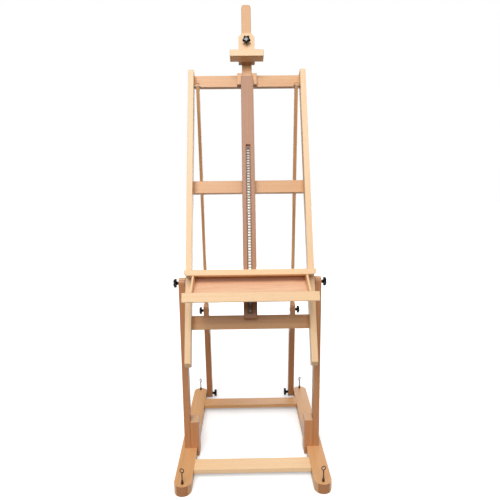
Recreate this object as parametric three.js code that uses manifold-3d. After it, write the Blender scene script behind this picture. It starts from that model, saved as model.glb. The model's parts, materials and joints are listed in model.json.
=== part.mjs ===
// Studio easel with an H-shaped frame that tilts on two posts, a sliding mast with a canvas clamp,
// a ratchet tray and two telescoping back struts. Millimetres, +Z up, +X right, +Y to the back.
// The origin is on the floor, under the middle of the whole easel.
import * as THREE from "three";
import Module from "manifold-3d";
import { mergeVertices } from "three/addons/utils/BufferGeometryUtils.js";

const wasm = await Module();
wasm.setup();

// ---------------------------------------------------------------- driving dimensions

// Clearances that fitted pieces share.
const seat_gap = 0.3; // between boards that are glued or screwed together
const slide_gap = 0.6; // round a piece that slides along another
const bore_gap = 0.35; // on the radius, round a bolt
const facets = 20; // sides of a bolt or a bore

// Base.
const base_width = 624;
const base_length = 800;
const runner_width = 69;
const runner_height = 42;
const crossbar_width = 70;
const crossbar_thickness = 19;
const front_crossbar_y = 101; // its front edge, from the runners' front ends
const rear_crossbar_y = 609;

// Posts.
const post_thickness = 26;
const post_depth = 46;
const post_inset = 15; // outer face of the post, in from the runner's outer face
const post_front_y = 247.5;
const pivot_height = 789;
const block_overhang = 10; // past the runner's inner face
const block_depth = 62;
const block_top = 166;
const block_bottom = 3;

// Tilting frame. Its own axes: x right, y to the back, z up along the frame, zero at the pivot.
const lean_deg = 21; // from the vertical
const pivot_washer = 3; // between a post and a rail
const rail_thickness = 25;
const rail_depth = 50;
const rail_foot = -343;
const rail_top = 975;
const rail_chamfer = 16;
const rail_chamfer_depth = 17;
const board_thickness = 18;
const board_width = 58;
const lower_board_z = -193.5;
const middle_board_z = 400;

// Centre column, which holds the rack and guides the mast and the tray.
const column_width = 56;
const column_thickness = 25;
const column_foot = -150;
const column_top = 945;
const groove_width = 19;
const groove_depth = 10;
const groove_foot = -131;
const groove_top = 610;
const rack_width = 11;
const rack_base = 2;
const tooth_height = 4.6;
const tooth_pitch = 12;

// Mast and canvas clamp.
const mast_width = 45;
const mast_thickness = 19.4;
const mast_foot = 135;
const mast_top = 1338;
const mast_tip_height = 22;
const mast_tip_flat = 19;
const clamp_width = 75;
const clamp_foot = 1020;
const clamp_top = 1171;
const clamp_plate_thickness = 16.7;
const clamp_chamfer_width = 15.5;
const clamp_chamfer_height = 20;
const clamp_sleeve_foot = 1036;
const clamp_sleeve_top = 1146;
const clamp_back_thickness = 12;
const clamp_bar_width = 153;
const clamp_bar_height = 34;
const clamp_bar_depth = 45.4;
const clamp_knob_z = 1126;

// Tray. Distances forward of the pivot plane are written as "out".
const ledge_inset = 1; // end of the ledge, in from the rail's outer face
const ledge_bottom = 18.5;
const ledge_height = 24.2;
const ledge_out = 84;
const ledge_chamfer = 8;
const ledge_lip = 9; // height of the lip that keeps a canvas on the ledge
const ledge_lip_thickness = 12;
const tray_side_gap = 9; // between a tray side and the rail beside it
const tray_board_thickness = 18;
const tray_board_foot = -70;
const tray_side_thickness = 8;
const tray_bottom_thickness = 6;
const tray_back_z = 0; // top of the tray bottom at its back edge
const tray_front_z = -78; // and at its front edge
const tray_front_out = 157;
const front_rail_thickness = 13.7;
const front_rail_height = 37;
const front_rail_top = -58;
const front_rail_inset = 5; // end of the tray's front rail, in from the rail's outer face
const guide_width = 17.6;
const guide_lip = 4.6;
const pawl_thickness = 8;
const pawl_pin_z = -45;
const pawl_pin_length = 64;
const pawl_pin_radius = 2.5;
const pawl_eye_radius = 6.5;
const pawl_tip_z = -96;
const pawl_notch_width = 24;
const pawl_notch_top = -28;

// Back struts: a channelled lower strut, open to the back, and a slotted lath that slides in it.
const foot_pivot_y = 763;
const foot_pivot_z = 30;
const strut_washer = 2.5; // between the strut and the rail or the runner
const strut_width = 29.5;
const strut_depth = 44;
const strut_step = 4; // the inner face steps in towards the top
const strut_step_reach = 375;
const lower_strut_reach = 540; // from the foot pivot to its top end
const channel_foot = 62; // where the channel starts above the foot pivot
const lath_thickness = 14;
const lath_depth = 28;
const lath_end = 343; // lower end of the lath from the foot pivot, as drawn
const clamp_bolt_reach = 500; // clamp bolt from the foot pivot
const tilt_forward_deg = 20; // travel of the frame from the drawn lean
const tilt_back_deg = 30;

// Bolts, star knobs and levelling screws.
const bolt_radius = 4;
const bolt_head_radius = 9;
const bolt_head_height = 3;
const knob_radius = 19.5;
const knob_lobe = 4.8; // depth of the hollow between two lobes
const knob_lobes = 5;
const knob_thickness = 12.5;
const knob_edge = 2.5;
const boss_radius = 8; // where it meets the head
const boss_tip_radius = 6;
const boss_length = 10;
const knob_bore_depth = 16;
const stud_grip = 35; // of the foot stud in the runner
const eye_inset = 20; // levelling screw from the end of the runner
const eye_height = 99; // centre of its ring above the floor
const eye_ring_radius = 8;
const eye_wire_radius = 2;
const eye_shank_radius = 3;
const eye_tip_height = 2;
const lock_nut_radius = 5.5;
const lock_nut_height = 15;

// ---------------------------------------------------------------- derived places

const lean = THREE.MathUtils.degToRad(lean_deg);
const half_base = base_width / 2;
const runner_inner = half_base - runner_width;
const runner_middle = half_base - runner_width / 2;
const post_outer = half_base - post_inset;
const post_inner = post_outer - post_thickness;
const pivot_y = post_front_y + post_depth / 2;
const rail_outer = post_inner - pivot_washer;
const rail_inner = rail_outer - rail_thickness;
const rail_front_out = rail_depth / 2;
const board_front_y = rail_depth / 2 + seat_gap;
const mast_back_y = rail_depth / 2 + seat_gap - slide_gap;
const mast_front_y = mast_back_y - mast_thickness;
const column_back_y = mast_front_y - slide_gap;
const column_front_y = column_back_y - column_thickness;
const groove_floor_y = column_front_y + groove_depth;
const tray_board_back_y = column_front_y - slide_gap;
const tray_board_front_y = tray_board_back_y - tray_board_thickness;
const tray_side_inner = rail_inner - tray_side_gap - tray_side_thickness;

// The lath hangs from a pin as far above the frame's pivot as the foot pivot is from it, so the
// triangle of the three pivots stays isosceles and the strut turns through half the frame's tilt.
const foot_back = foot_pivot_y - pivot_y;
const foot_drop = pivot_height - foot_pivot_z;
const strut_pin_z = Math.hypot(foot_back, foot_drop);
const foot_direction = Math.atan2(foot_back, -foot_drop);
const strut_length = (tilt) => 2 * strut_pin_z * Math.sin((foot_direction - lean - tilt) / 2);
const strut_rest = strut_length(0);
const strut_long = strut_length(-THREE.MathUtils.degToRad(tilt_forward_deg));
const strut_short = strut_length(THREE.MathUtils.degToRad(tilt_back_deg));
const strut_turn = (foot_direction + lean) / 2 - Math.PI / 2; // from the vertical, to the back
const strut_outer = rail_inner - strut_washer;
const strut_middle = strut_outer - strut_width / 2;
const bolt_along_lath = clamp_bolt_reach - lath_end;

const floor_middle_y = base_length / 2;

// ---------------------------------------------------------------- colours

const paint = (color, roughness, metalness) =>
  new THREE.MeshStandardMaterial({ color, roughness, metalness });
const beech = paint(0xd9a877, 0.55, 0);
const pale_beech = paint(0xefc89b, 0.55, 0);
const dark_beech = paint(0xb07a4c, 0.6, 0);
const plywood = paint(0xe0b48f, 0.6, 0);
const black_plastic = paint(0x0c0c0e, 0.25, 0);
const steel = paint(0x8d8a84, 0.35, 1);
const brassed_steel = paint(0x7c6a48, 0.4, 1);

// ---------------------------------------------------------------- shape helpers

// A closed solid for joining and cutting, from a closed geometry.
function solid(geometry) {
  const bare = new THREE.BufferGeometry();
  const source = geometry.index ? geometry.toNonIndexed() : geometry;
  bare.setAttribute("position", source.getAttribute("position"));
  const merged = mergeVertices(bare, 1e-4);
  return new wasm.Manifold(
    new wasm.Mesh({
      numProp: 3,
      vertProperties: merged.attributes.position.array,
      triVerts: new Uint32Array(merged.index.array),
    }),
  );
}

// The geometry of a closed solid.
function surface(body) {
  const mesh = body.getMesh();
  const geometry = new THREE.BufferGeometry();
  geometry.setAttribute("position", new THREE.BufferAttribute(mesh.vertProperties, 3));
  geometry.setIndex(new THREE.BufferAttribute(mesh.triVerts, 1));
  const flat = geometry.toNonIndexed();
  flat.computeVertexNormals();
  return flat;
}

// A geometry with others cut away from it.
function cut(geometry, ...tools) {
  let body = solid(geometry);
  for (const tool of tools) {
    body = body.subtract(solid(tool));
  }
  return surface(body);
}

// Several geometries joined into one.
function join(first, ...others) {
  let body = solid(first);
  for (const other of others) {
    body = body.add(solid(other));
  }
  return surface(body);
}

// A block between two corners.
function block(x0, x1, y0, y1, z0, z1) {
  const geometry = new THREE.BoxGeometry(x1 - x0, y1 - y0, z1 - z0);
  return geometry.translate((x0 + x1) / 2, (y0 + y1) / 2, (z0 + z1) / 2);
}

function outline(points) {
  return new THREE.Shape(points.map(([a, b]) => new THREE.Vector2(a, b)));
}

// A side outline, given as (y, z), made thick from x0 to x1.
function side_plate(shape, x0, x1, curveSegments = 20) {
  const geometry = new THREE.ExtrudeGeometry(shape, {
    depth: x1 - x0,
    bevelEnabled: false,
    curveSegments,
  });
  geometry.applyMatrix4(new THREE.Matrix4().set(0, 0, 1, x0, 1, 0, 0, 0, 0, 1, 0, 0, 0, 0, 0, 1));
  return geometry;
}

// A front outline, given as (x, z), made thick from y0 to y1.
function front_plate(shape, y0, y1, curveSegments = 20) {
  const geometry = new THREE.ExtrudeGeometry(shape, {
    depth: y1 - y0,
    bevelEnabled: false,
    curveSegments,
  });
  geometry.applyMatrix4(new THREE.Matrix4().set(1, 0, 0, 0, 0, 0, -1, y1, 0, 1, 0, 0, 0, 0, 0, 1));
  return geometry;
}

// A turned piece along +X, from its (distance along, radius) profile.
function turned(profile) {
  const points = profile.map(([along, radius]) => new THREE.Vector2(radius, along));
  const geometry = new THREE.LatheGeometry(points, facets);
  geometry.rotateZ(-Math.PI / 2);
  return geometry;
}

// A round rod along X between two places, centred on (y, z).
function rod_x(radius, x0, x1, y, z) {
  const profile = [
    [x0, 0],
    [x0, radius],
    [x1, radius],
    [x1, 0],
  ];
  return turned(profile).translate(0, y, z);
}

function rod_y(radius, y0, y1, x, z) {
  return rod_x(radius, y0, y1, 0, 0).rotateZ(Math.PI / 2).translate(x, 0, z);
}

function rod_z(radius, z0, z1, x, y) {
  return rod_x(radius, z0, z1, 0, 0).rotateY(-Math.PI / 2).translate(x, y, 0);
}

// A strip with round ends about (0, z0) and (0, z1), as a (y, z) outline.
function round_strip(half_width, z0, z1) {
  const shape = new THREE.Shape();
  shape.absarc(0, z1, half_width, 0, Math.PI, false);
  shape.absarc(0, z0, half_width, Math.PI, 2 * Math.PI, false);
  return shape;
}

const easel = new THREE.Group();

function part(parent, name, geometry, material) {
  const mesh = new THREE.Mesh(geometry, material);
  mesh.name = name;
  parent.add(mesh);
  return mesh;
}

// Runs a maker once for each side: side is 1 on the right and -1 on the left.
function both_sides(make) {
  make(1, "right");
  make(-1, "left");
}

// A geometry drawn for the right side, or its mirror image for the left.
function sided(geometry, side) {
  return side > 0 ? geometry : surface(solid(geometry).mirror([1, 0, 0]));
}

// ---------------------------------------------------------------- fasteners

// A star knob whose boss starts at x = 0 and whose lobed head points along +X.
function star_knob() {
  const steps = 8 * knob_lobes;
  const points = [];
  for (let i = 0; i < steps; i += 1) {
    const angle = (i / steps) * 2 * Math.PI;
    const wave = Math.cos(knob_lobes * angle);
    const radius = knob_radius - knob_edge - knob_lobe * (1 - wave) * 0.5;
    points.push([radius * Math.cos(angle), radius * Math.sin(angle)]);
  }
  const head = new THREE.ExtrudeGeometry(outline(points), {
    depth: knob_thickness - 2 * knob_edge,
    bevelEnabled: true,
    bevelThickness: knob_edge,
    bevelSize: knob_edge,
    bevelSegments: 1,
  });
  head.translate(0, 0, boss_length + knob_edge);
  head.rotateY(Math.PI / 2);
  const boss = turned([
    [0, 0],
    [0, boss_tip_radius],
    [boss_length + knob_edge, boss_radius],
    [boss_length + knob_edge, 0],
  ]);
  return join(head, boss);
}

// A star knob with a blind bore, screwed on the end of a bolt.
function bored_knob() {
  return cut(star_knob(), rod_x(bolt_radius + bore_gap, -1, knob_bore_depth, 0, 0));
}

// A star knob with a stud that reaches back from it.
function stud_knob(reach) {
  return join(star_knob(), rod_x(bolt_radius, -reach, 1, 0, 0));
}

// A dome-headed bolt along +X whose head's flat face is at x = 0.
function dome_bolt(length) {
  return turned([
    [-bolt_head_height, 0],
    [-bolt_head_height, bolt_head_radius * 0.45],
    [-bolt_head_height * 0.6, bolt_head_radius * 0.85],
    [0, bolt_head_radius],
    [0, bolt_radius],
    [length, bolt_radius],
    [length, 0],
  ]);
}

const knob_grip = knob_bore_depth - 2; // length of bolt inside a knob

// ---------------------------------------------------------------- base

const base = new THREE.Group();
base.position.y = -floor_middle_y;
easel.add(base);

function bore_x(x0, x1, y, z) {
  return rod_x(bolt_radius + bore_gap, x0, x1, y, z);
}

function runner() {
  const radius = runner_width / 2;
  const shape = new THREE.Shape();
  shape.absarc(runner_middle, radius, radius, Math.PI, 2 * Math.PI, false);
  shape.absarc(runner_middle, base_length - radius, radius, 0, Math.PI, false);
  const geometry = new THREE.ExtrudeGeometry(shape, {
    depth: runner_height,
    bevelEnabled: false,
    curveSegments: 20,
  });
  const screw_bore = eye_shank_radius + bore_gap;
  return cut(
    geometry,
    rod_z(screw_bore, -1, runner_height + 1, runner_middle, eye_inset),
    rod_z(screw_bore, -1, runner_height + 1, runner_middle, base_length - eye_inset),
    bore_x(runner_inner - 1, runner_inner + stud_grip + 1, foot_pivot_y, foot_pivot_z),
  );
}

function crossbar(front_y) {
  const top = runner_height;
  return block(
    -runner_inner,
    runner_inner,
    front_y,
    front_y + crossbar_width,
    top - crossbar_thickness,
    top,
  );
}

function post() {
  const radius = post_depth / 2;
  const shape = new THREE.Shape();
  shape.moveTo(pivot_y - radius, runner_height);
  shape.lineTo(pivot_y + radius, runner_height);
  shape.absarc(pivot_y, pivot_height, radius, 0, Math.PI, false);
  const plate = side_plate(shape, post_inner, post_outer);
  return cut(plate, bore_x(post_inner - 1, post_outer + 1, pivot_y, pivot_height));
}

// The block is glued to the post's inner face and steps down past the runner's inner face.
function post_block() {
  const inner = runner_inner - block_overhang;
  const shape = outline([
    [inner, block_bottom],
    [runner_inner, block_bottom],
    [runner_inner, runner_height],
    [post_inner, runner_height],
    [post_inner, block_top],
    [inner, block_top],
  ]);
  return front_plate(shape, post_front_y, post_front_y + block_depth);
}

function levelling_screw(y, turn) {
  const ring = new THREE.TorusGeometry(eye_ring_radius, eye_wire_radius, 8, 20);
  ring.rotateX(Math.PI / 2);
  ring.rotateZ(turn);
  ring.translate(0, 0, eye_height);
  const shank_top = eye_height - eye_ring_radius;
  const shank = rod_z(eye_shank_radius, eye_tip_height, shank_top, 0, 0);
  const nut_foot = runner_height + seat_gap;
  const nut = rod_z(lock_nut_radius, nut_foot, nut_foot + lock_nut_height, 0, 0);
  return join(ring, shank, nut).translate(runner_middle, y, 0);
}

part(base, "front_crossbar", crossbar(front_crossbar_y), pale_beech);
part(base, "rear_crossbar", crossbar(rear_crossbar_y), beech);

both_sides((side, word) => {
  part(base, "runner_" + word, sided(runner(), side), beech);
  part(base, "post_" + word, sided(post(), side), dark_beech);
  part(base, "post_block_" + word, sided(post_block(), side), dark_beech);

  // The foot stud is screwed into the runner, and its knob presses on the strut.
  const stud_end = strut_outer - strut_width - knob_grip;
  const stud = rod_x(bolt_radius, stud_end, runner_inner + stud_grip, foot_pivot_y, foot_pivot_z);
  part(base, "foot_stud_" + word, sided(stud, side), steel);
  const foot_knob = bored_knob().rotateY(Math.PI);
  foot_knob.translate(strut_outer - strut_width - seat_gap, foot_pivot_y, foot_pivot_z);
  part(base, "foot_knob_" + word, sided(foot_knob, side), black_plastic);

  const pivot_knob = bored_knob().translate(post_outer + seat_gap, pivot_y, pivot_height);
  part(base, "pivot_knob_" + word, sided(pivot_knob, side), black_plastic);

  const front_screw = levelling_screw(eye_inset, 0.25);
  const rear_screw = levelling_screw(base_length - eye_inset, 0.9);
  part(base, "front_levelling_screw_" + word, sided(front_screw, side), brassed_steel);
  part(base, "rear_levelling_screw_" + word, sided(rear_screw, side), brassed_steel);
});

// ---------------------------------------------------------------- tilting frame

const frame = new THREE.Group();
frame.position.set(0, pivot_y, pivot_height);
frame.rotation.x = -lean;
base.add(frame);

function side_rail() {
  const front = -rail_front_out;
  const shape = outline([
    [front + rail_chamfer_depth, rail_foot],
    [rail_front_out, rail_foot],
    [rail_front_out, rail_top],
    [front, rail_top],
    [front, rail_foot + rail_chamfer],
  ]);
  const plate = side_plate(shape, rail_inner, rail_outer);
  return cut(
    plate,
    bore_x(rail_inner - 1, rail_outer + 1, 0, 0),
    bore_x(rail_inner - 1, rail_outer + 1, 0, strut_pin_z),
  );
}

function crossboard(foot) {
  const back = board_front_y + board_thickness;
  return block(-rail_outer, rail_outer, board_front_y, back, foot, foot + board_width);
}

function column() {
  const half = column_width / 2;
  const plate = block(-half, half, column_front_y, column_back_y, column_foot, column_top);
  const groove = block(
    -groove_width / 2,
    groove_width / 2,
    column_front_y - 1,
    groove_floor_y,
    groove_foot,
    groove_top,
  );
  return cut(plate, groove);
}

// Saw teeth with a flat underside and a sloping top, crests towards the front.
function rack() {
  const back = groove_floor_y - seat_gap;
  const root = back - rack_base;
  const crest = root - tooth_height;
  const foot = groove_foot + seat_gap;
  const count = Math.floor((groove_top - groove_foot - 2 * seat_gap) / tooth_pitch);
  const points = [[back, foot]];
  for (let i = 0; i < count; i += 1) {
    const z = foot + i * tooth_pitch;
    points.push([crest, z]);
    points.push([root, z + tooth_pitch]);
  }
  points.push([back, foot + count * tooth_pitch]);
  points.reverse();
  return side_plate(outline(points), -rack_width / 2, rack_width / 2);
}

const top_board_z = rail_top - board_width;
part(frame, "lower_crossboard", crossboard(lower_board_z), beech);
part(frame, "middle_crossboard", crossboard(middle_board_z), beech);

const lock_bore = rod_y(
  bolt_radius + bore_gap,
  board_front_y - 1,
  board_front_y + board_thickness + 1,
  0,
  top_board_z + board_width / 2,
);
part(frame, "top_crossboard", cut(crossboard(top_board_z), lock_bore), beech);
part(frame, "centre_column", column(), dark_beech);
part(frame, "ratchet_rack", rack(), steel);

// The foot block packs the gap between the column's foot and the lower crossboard.
const foot_block = block(
  -column_width / 2,
  column_width / 2,
  column_back_y + seat_gap,
  board_front_y - seat_gap,
  column_foot,
  groove_foot,
);
part(frame, "column_foot_block", foot_block, beech);

const mast_lock = stud_knob(board_thickness + seat_gap).rotateZ(Math.PI / 2);
mast_lock.translate(0, board_front_y + board_thickness + seat_gap, top_board_z + board_width / 2);
part(frame, "mast_lock_knob", mast_lock, black_plastic);

both_sides((side, word) => {
  part(frame, "side_rail_" + word, sided(side_rail(), side), pale_beech);

  const guide = block(
    mast_width / 2 + slide_gap,
    column_width / 2 + guide_width,
    column_back_y + seat_gap,
    board_front_y - seat_gap,
    top_board_z,
    rail_top,
  );
  part(frame, "mast_guide_" + word, sided(guide, side), beech);

  const pivot_length = post_outer + knob_grip - rail_inner;
  const pivot_bolt = dome_bolt(pivot_length).translate(rail_inner - seat_gap, 0, 0);
  part(frame, "pivot_bolt_" + word, sided(pivot_bolt, side), steel);

  // The strut pin has a head outside the rail, a collar for the gap and a nut inside the lath.
  const lath_outer = strut_middle + lath_thickness / 2;
  const lath_inner = strut_middle - lath_thickness / 2;
  const pin = turned([
    [lath_inner - seat_gap - 6, 0],
    [lath_inner - seat_gap - 6, 7.5],
    [lath_inner - seat_gap, 7.5],
    [lath_inner - seat_gap, bolt_radius],
    [lath_outer + seat_gap, bolt_radius],
    [lath_outer + seat_gap, 7],
    [rail_inner - seat_gap, 7],
    [rail_inner - seat_gap, bolt_radius],
    [rail_outer + seat_gap, bolt_radius],
    [rail_outer + seat_gap, bolt_head_radius],
    [rail_outer + seat_gap + 2.2, bolt_head_radius * 0.6],
    [rail_outer + seat_gap + 2.2, 0],
  ]).translate(0, 0, strut_pin_z);
  part(frame, "strut_pin_" + word, sided(pin, side), steel);
});

// ---------------------------------------------------------------- mast and clamp

function mast() {
  const half = mast_width / 2;
  const shape = new THREE.Shape();
  shape.moveTo(-half, mast_foot);
  shape.lineTo(half, mast_foot);
  shape.lineTo(half, mast_top - mast_tip_height);
  shape.quadraticCurveTo(half, mast_top, mast_tip_flat / 2, mast_top);
  shape.lineTo(-mast_tip_flat / 2, mast_top);
  shape.quadraticCurveTo(-half, mast_top, -half, mast_top - mast_tip_height);
  return front_plate(shape, mast_front_y, mast_back_y);
}

const clamp_front_y = mast_front_y - slide_gap - clamp_plate_thickness;

function clamp_plate() {
  const half = clamp_width / 2;
  const shape = outline([
    [-half, clamp_foot],
    [half, clamp_foot],
    [half, clamp_top - clamp_chamfer_height],
    [half - clamp_chamfer_width, clamp_top],
    [clamp_chamfer_width - half, clamp_top],
    [-half, clamp_top - clamp_chamfer_height],
  ]);
  const back = clamp_front_y + clamp_plate_thickness;
  const bore = rod_y(bolt_radius + bore_gap, clamp_front_y - 1, back + 1, 0, clamp_knob_z);
  return cut(front_plate(shape, clamp_front_y, back), bore);
}

part(frame, "mast", mast(), beech);
part(frame, "clamp_plate", clamp_plate(), pale_beech);

const clamp_bar = block(
  -clamp_bar_width / 2,
  clamp_bar_width / 2,
  clamp_front_y - seat_gap - clamp_bar_depth,
  clamp_front_y - seat_gap,
  clamp_foot,
  clamp_foot + clamp_bar_height,
);
part(frame, "clamp_bar", clamp_bar, pale_beech);

const clamp_back = block(
  -clamp_width / 2,
  clamp_width / 2,
  mast_back_y + slide_gap,
  mast_back_y + slide_gap + clamp_back_thickness,
  clamp_sleeve_foot,
  clamp_sleeve_top,
);
part(frame, "clamp_back_plate", clamp_back, pale_beech);

const clamp_stud = clamp_plate_thickness + seat_gap;
const clamp_knob = stud_knob(clamp_stud).rotateZ(-Math.PI / 2);
clamp_knob.translate(0, clamp_front_y - seat_gap, clamp_knob_z);
part(frame, "clamp_knob", clamp_knob, black_plastic);

both_sides((side, word) => {
  const cheek = block(
    mast_width / 2 + slide_gap,
    clamp_width / 2,
    clamp_front_y + clamp_plate_thickness + seat_gap,
    mast_back_y + slide_gap - seat_gap,
    clamp_sleeve_foot,
    clamp_sleeve_top,
  );
  part(frame, "clamp_cheek_" + word, sided(cheek, side), pale_beech);
});

// ---------------------------------------------------------------- tray

function ledge() {
  const half = rail_outer - ledge_inset;
  const top = ledge_bottom + ledge_height;
  const shape = outline([
    [ledge_chamfer - half, ledge_bottom],
    [half - ledge_chamfer, ledge_bottom],
    [half, ledge_bottom + ledge_chamfer],
    [half, top],
    [-half, top],
    [-half, ledge_bottom + ledge_chamfer],
  ]);
  const back = -rail_front_out - slide_gap;
  const rebate_front = ledge_lip_thickness - ledge_out;
  const rebate = block(-half - 1, half + 1, rebate_front, back + 1, top - ledge_lip, top + 1);
  return cut(front_plate(shape, -ledge_out, back), rebate);
}

const pawl_pin_y = (tray_board_front_y + tray_board_back_y) / 2;

function tray_back_board() {
  const half = tray_side_inner - seat_gap;
  const board = block(
    -half,
    half,
    tray_board_front_y,
    tray_board_back_y,
    tray_board_foot,
    ledge_bottom - seat_gap,
  );
  const notch = block(
    -pawl_notch_width / 2,
    pawl_notch_width / 2,
    tray_board_front_y - 1,
    tray_board_back_y + 1,
    tray_board_foot - 1,
    pawl_notch_top,
  );
  const reach = pawl_pin_length / 2 + 1;
  const pin_bore = rod_x(pawl_pin_radius + 0.2, -reach, reach, pawl_pin_y, pawl_pin_z);
  return cut(board, notch, pin_bore);
}

function tray_bottom() {
  const half = tray_side_inner - seat_gap;
  const back = tray_board_front_y - seat_gap;
  const front = -tray_front_out + seat_gap;
  const shape = outline([
    [front, tray_front_z - tray_bottom_thickness],
    [back, tray_back_z - tray_bottom_thickness],
    [back, tray_back_z],
    [front, tray_front_z],
  ]);
  return side_plate(shape, -half, half);
}

function tray_side() {
  const top = ledge_bottom - seat_gap;
  const front = -tray_front_out + seat_gap;
  const slope_top = front_rail_top + 2;
  const slope_run = top - slope_top;
  const rail_bottom = front_rail_top - front_rail_height;
  const shape = outline([
    [front, rail_bottom + 2],
    [front + 30, rail_bottom + 2],
    [tray_board_front_y - 6, tray_board_foot],
    [tray_board_back_y, tray_board_foot],
    [tray_board_back_y, top],
    [front + slope_run, top],
    [front, slope_top],
  ]);
  return side_plate(shape, tray_side_inner, tray_side_inner + tray_side_thickness);
}

part(frame, "canvas_ledge", ledge(), pale_beech);
part(frame, "tray_back_board", tray_back_board(), dark_beech);
part(frame, "tray_bottom", tray_bottom(), plywood);

const front_rail = block(
  front_rail_inset - rail_outer,
  rail_outer - front_rail_inset,
  -tray_front_out - front_rail_thickness,
  -tray_front_out,
  front_rail_top - front_rail_height,
  front_rail_top,
);
part(frame, "tray_front_rail", front_rail, pale_beech);

// The pawl turns on a pin across the notch, its tip just clear of the rack's crests.
function pawl() {
  const crest_y = groove_floor_y - seat_gap - rack_base - tooth_height;
  const tip_y = crest_y - seat_gap;
  const eye = rod_x(pawl_eye_radius, -pawl_thickness / 2, pawl_thickness / 2, pawl_pin_y, pawl_pin_z);
  const arm = outline([
    [tip_y, pawl_tip_z],
    [tip_y, pawl_tip_z + 9],
    [pawl_pin_y + 5, pawl_pin_z],
    [pawl_pin_y - 5, pawl_pin_z],
    [tip_y - 12, pawl_tip_z + 4],
  ]);
  const tail = outline([
    [pawl_pin_y - 4, pawl_pin_z - 5],
    [pawl_pin_y + 3, pawl_pin_z + 5],
    [pawl_pin_y - 24, pawl_pin_z - 12],
    [pawl_pin_y - 25, pawl_pin_z - 17],
  ]);
  const half = pawl_thickness / 2;
  const body = join(eye, side_plate(arm, -half, half), side_plate(tail, -half, half));
  const reach = half + 1;
  return cut(body, rod_x(pawl_pin_radius + 0.2, -reach, reach, pawl_pin_y, pawl_pin_z));
}

part(frame, "pawl", pawl(), steel);
const pin_reach = pawl_pin_length / 2;
const pawl_pin = rod_x(pawl_pin_radius, -pin_reach, pin_reach, pawl_pin_y, pawl_pin_z);
part(frame, "pawl_pin", pawl_pin, steel);

// Each guide runs down one side of the column and hooks behind its edge.
function carriage_guide() {
  const inner = column_width / 2 + slide_gap;
  const outer = inner + guide_width;
  const front = tray_board_back_y + seat_gap;
  const back = board_front_y - slide_gap;
  const body = block(inner, outer, front, back, tray_board_foot, ledge_bottom - seat_gap);
  const lip = block(
    inner - guide_lip,
    inner + 1,
    column_back_y + slide_gap,
    back,
    tray_board_foot,
    ledge_bottom - seat_gap,
  );
  return join(body, lip);
}

both_sides((side, word) => {
  part(frame, "tray_side_" + word, sided(tray_side(), side), pale_beech);
  part(frame, "carriage_guide_" + word, sided(carriage_guide(), side), beech);
});

// ---------------------------------------------------------------- back struts

// Both halves of a strut are drawn upright along z and turned as one about the foot pivot.
const struts = new THREE.Group();
struts.position.set(0, foot_pivot_y, foot_pivot_z);
struts.rotation.x = -strut_turn;
base.add(struts);

function lower_strut() {
  const radius = strut_depth / 2;
  const shape = round_strip(radius, 0, lower_strut_reach - radius);
  const inner = strut_outer - strut_width;
  const plate = side_plate(shape, inner, strut_outer);
  const slot_half = lath_thickness / 2 + slide_gap;
  const channel = block(
    strut_middle - slot_half,
    strut_middle + slot_half,
    -lath_depth / 2 - slide_gap,
    radius + 1,
    channel_foot,
    lower_strut_reach + 1,
  );
  const step = outline([
    [inner - 1, strut_step_reach],
    [inner, strut_step_reach],
    [inner + strut_step, strut_step_reach + 3 * strut_step],
    [inner + strut_step, lower_strut_reach + 1],
    [inner - 1, lower_strut_reach + 1],
  ]);
  return cut(
    plate,
    channel,
    front_plate(step, -radius - 1, radius + 1),
    bore_x(inner - 1, strut_outer + 1, 0, 0),
    bore_x(inner - 1, strut_outer + 1, 0, clamp_bolt_reach),
  );
}

function lath() {
  const radius = lath_depth / 2;
  const shape = round_strip(radius, lath_end + radius, strut_rest);
  const slot_foot = lath_end + bolt_along_lath - (strut_long - strut_rest);
  const slot_top = lath_end + bolt_along_lath + (strut_rest - strut_short);
  const slot = round_strip(bolt_radius + slide_gap, slot_foot - 2, slot_top + 2);
  shape.holes.push(slot);
  const half = lath_thickness / 2;
  const plate = side_plate(shape, strut_middle - half, strut_middle + half, 8);
  return cut(plate, bore_x(strut_middle - half - 1, strut_middle + half + 1, 0, strut_rest));
}

both_sides((side, word) => {
  part(struts, "lower_strut_" + word, sided(lower_strut(), side), dark_beech);
  part(struts, "upper_strut_" + word, sided(lath(), side), beech);

  const head_x = strut_outer - strut_width + strut_step - seat_gap;
  const bolt = dome_bolt(strut_outer + knob_grip - head_x);
  bolt.translate(head_x, 0, clamp_bolt_reach);
  part(struts, "strut_bolt_" + word, sided(bolt, side), steel);
  const knob = bored_knob().translate(strut_outer + seat_gap, 0, clamp_bolt_reach);
  part(struts, "strut_knob_" + word, sided(knob, side), black_plastic);
});

export default easel;
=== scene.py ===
import json
import math
import random

import bmesh
import bpy
from mathutils import Matrix, Vector


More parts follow.
